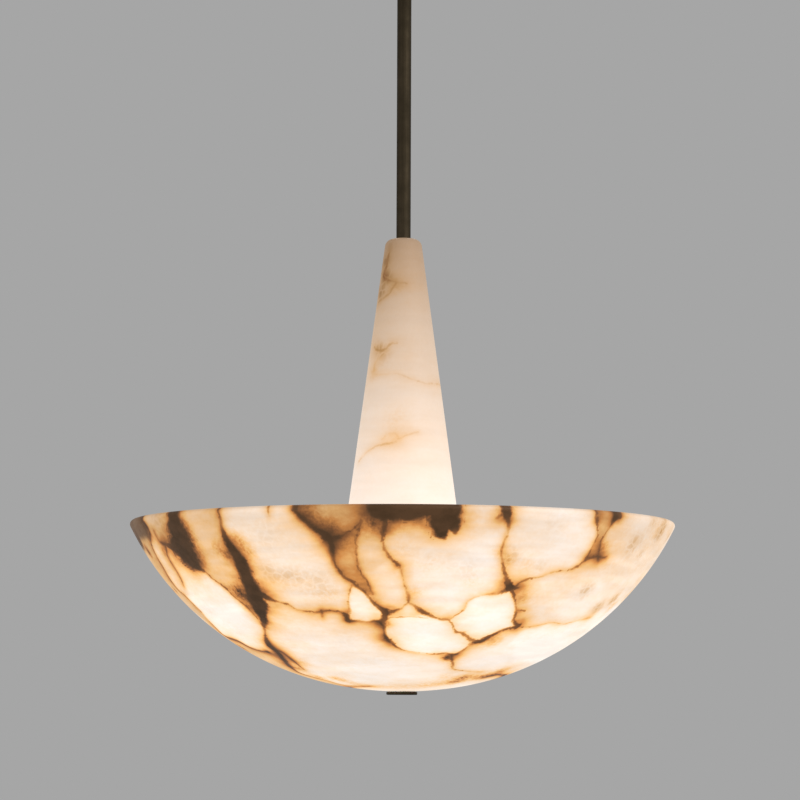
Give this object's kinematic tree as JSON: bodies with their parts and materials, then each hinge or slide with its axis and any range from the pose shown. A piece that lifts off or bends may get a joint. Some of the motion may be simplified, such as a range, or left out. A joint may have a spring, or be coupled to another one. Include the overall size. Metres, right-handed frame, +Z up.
{
  "type": "pendant light",
  "caption": "Hanging light with a shallow veined alabaster bowl, a tapered alabaster spire rising from it and a slim dark bronze stem on a swivel canopy.",
  "frame": {"origin": "centre of the ceiling plate's top face, on the ceiling", "axes": "+Z up along the stem into the ceiling, +X along the line of the two fixing slots, -Y towards the camera of the picture"},
  "size_m": [0.6, 0.6, 0.8386],
  "materials": {
    "alabaster": "polished",
    "bronze": "satin",
    "steel": "satin",
    "brass": "satin",
    "ceramic": "satin",
    "opal": "satin",
    "silicone": "matte",
    "terminal": "matte"
  },
  "bodies": {
    "ceiling": {"ceiling_plate": "steel", "swivel_housing": "brass", "housing_screws": "steel", "stop_screw": "steel", "canopy": "bronze", "canopy_screws": "bronze", "terminal_block": "terminal", "terminal_screws": "steel", "earth_terminal": "steel"},
    "swivel": {"swivel_ring": "brass", "trunnion_pins": "steel", "stop_pin": "steel"},
    "pendant": {"swivel_ball": "bronze", "stem": "bronze", "stem_set_screw": "bronze", "stem_end_bush": "brass", "threaded_tube": "brass", "tube_nuts": "brass", "alabaster_cone": "alabaster", "cone_grommet": "silicone", "cone_gasket": "silicone", "cone_carrier": "brass", "cluster_body": "brass", "cluster_cover": "brass", "clamp_plate": "brass", "clamp_gasket": "silicone", "lamp_arm_1": "brass", "lamp_arm_2": "brass", "lamp_arm_3": "brass", "lamp_arm_4": "brass", "bowl_lampholder_1": "ceramic", "bowl_lampholder_2": "ceramic", "bowl_lampholder_3": "ceramic", "bowl_lampholder_4": "ceramic", "cone_lampholder_1": "ceramic", "cone_lampholder_2": "ceramic"},
    "bowl": {"alabaster_bowl": "alabaster", "finial_gasket": "silicone"},
    "finial": {"finial": "bronze"},
    "bowl_lamp_1": {"bowl_lamp_base_1": "ceramic", "bowl_lamp_globe_1": "opal"},
    "bowl_lamp_2": {"bowl_lamp_base_2": "ceramic", "bowl_lamp_globe_2": "opal"},
    "bowl_lamp_3": {"bowl_lamp_base_3": "ceramic", "bowl_lamp_globe_3": "opal"},
    "bowl_lamp_4": {"bowl_lamp_base_4": "ceramic", "bowl_lamp_globe_4": "opal"},
    "cone_lamp_1": {"cone_lamp_base_1": "ceramic", "cone_lamp_globe_1": "opal"},
    "cone_lamp_2": {"cone_lamp_base_2": "ceramic", "cone_lamp_globe_2": "opal"}
  },
  "joints": [
    {"name": "swivel_turn", "type": "hinge", "parent": "ceiling", "child": "swivel", "pos_m": [0, 0, -0.025], "axis": [0, 0, 1], "range_deg": [-170, 170]},
    {"name": "swivel_tilt", "type": "hinge", "parent": "swivel", "child": "pendant", "pos_m": [0, 0, -0.025], "axis": [1, 0, 0], "range_deg": [-25, 25]},
    {"name": "bowl_lower", "type": "slide", "parent": "pendant", "child": "bowl", "axis": [0, 0, -1], "range_m": [0, 0.01]},
    {"name": "finial_turn", "type": "hinge", "parent": "bowl", "child": "finial", "pos_m": [0, 0, -0.834], "axis": [0, 0, -1], "range_deg": [0, 3600]},
    {"name": "bowl_lamp_1_pull", "type": "slide", "parent": "pendant", "child": "bowl_lamp_1", "axis": [0.7071, 0.7071, 0], "range_m": [0, 0.014]},
    {"name": "bowl_lamp_2_pull", "type": "slide", "parent": "pendant", "child": "bowl_lamp_2", "axis": [-0.7071, 0.7071, 0], "range_m": [0, 0.014]},
    {"name": "bowl_lamp_3_pull", "type": "slide", "parent": "pendant", "child": "bowl_lamp_3", "axis": [-0.7071, -0.7071, 0], "range_m": [0, 0.014]},
    {"name": "bowl_lamp_4_pull", "type": "slide", "parent": "pendant", "child": "bowl_lamp_4", "axis": [0.7071, -0.7071, 0], "range_m": [0, 0.014]},
    {"name": "cone_lamp_1_pull", "type": "slide", "parent": "pendant", "child": "cone_lamp_1", "axis": [0, 0, 1], "range_m": [0, 0.014]},
    {"name": "cone_lamp_2_pull", "type": "slide", "parent": "pendant", "child": "cone_lamp_2", "axis": [0, 0, 1], "range_m": [0, 0.014]}
  ],
  "couplings": [
    {"joint": "finial_turn", "follows": "bowl_lower", "rad_per_m": 6283.2}
  ]
}
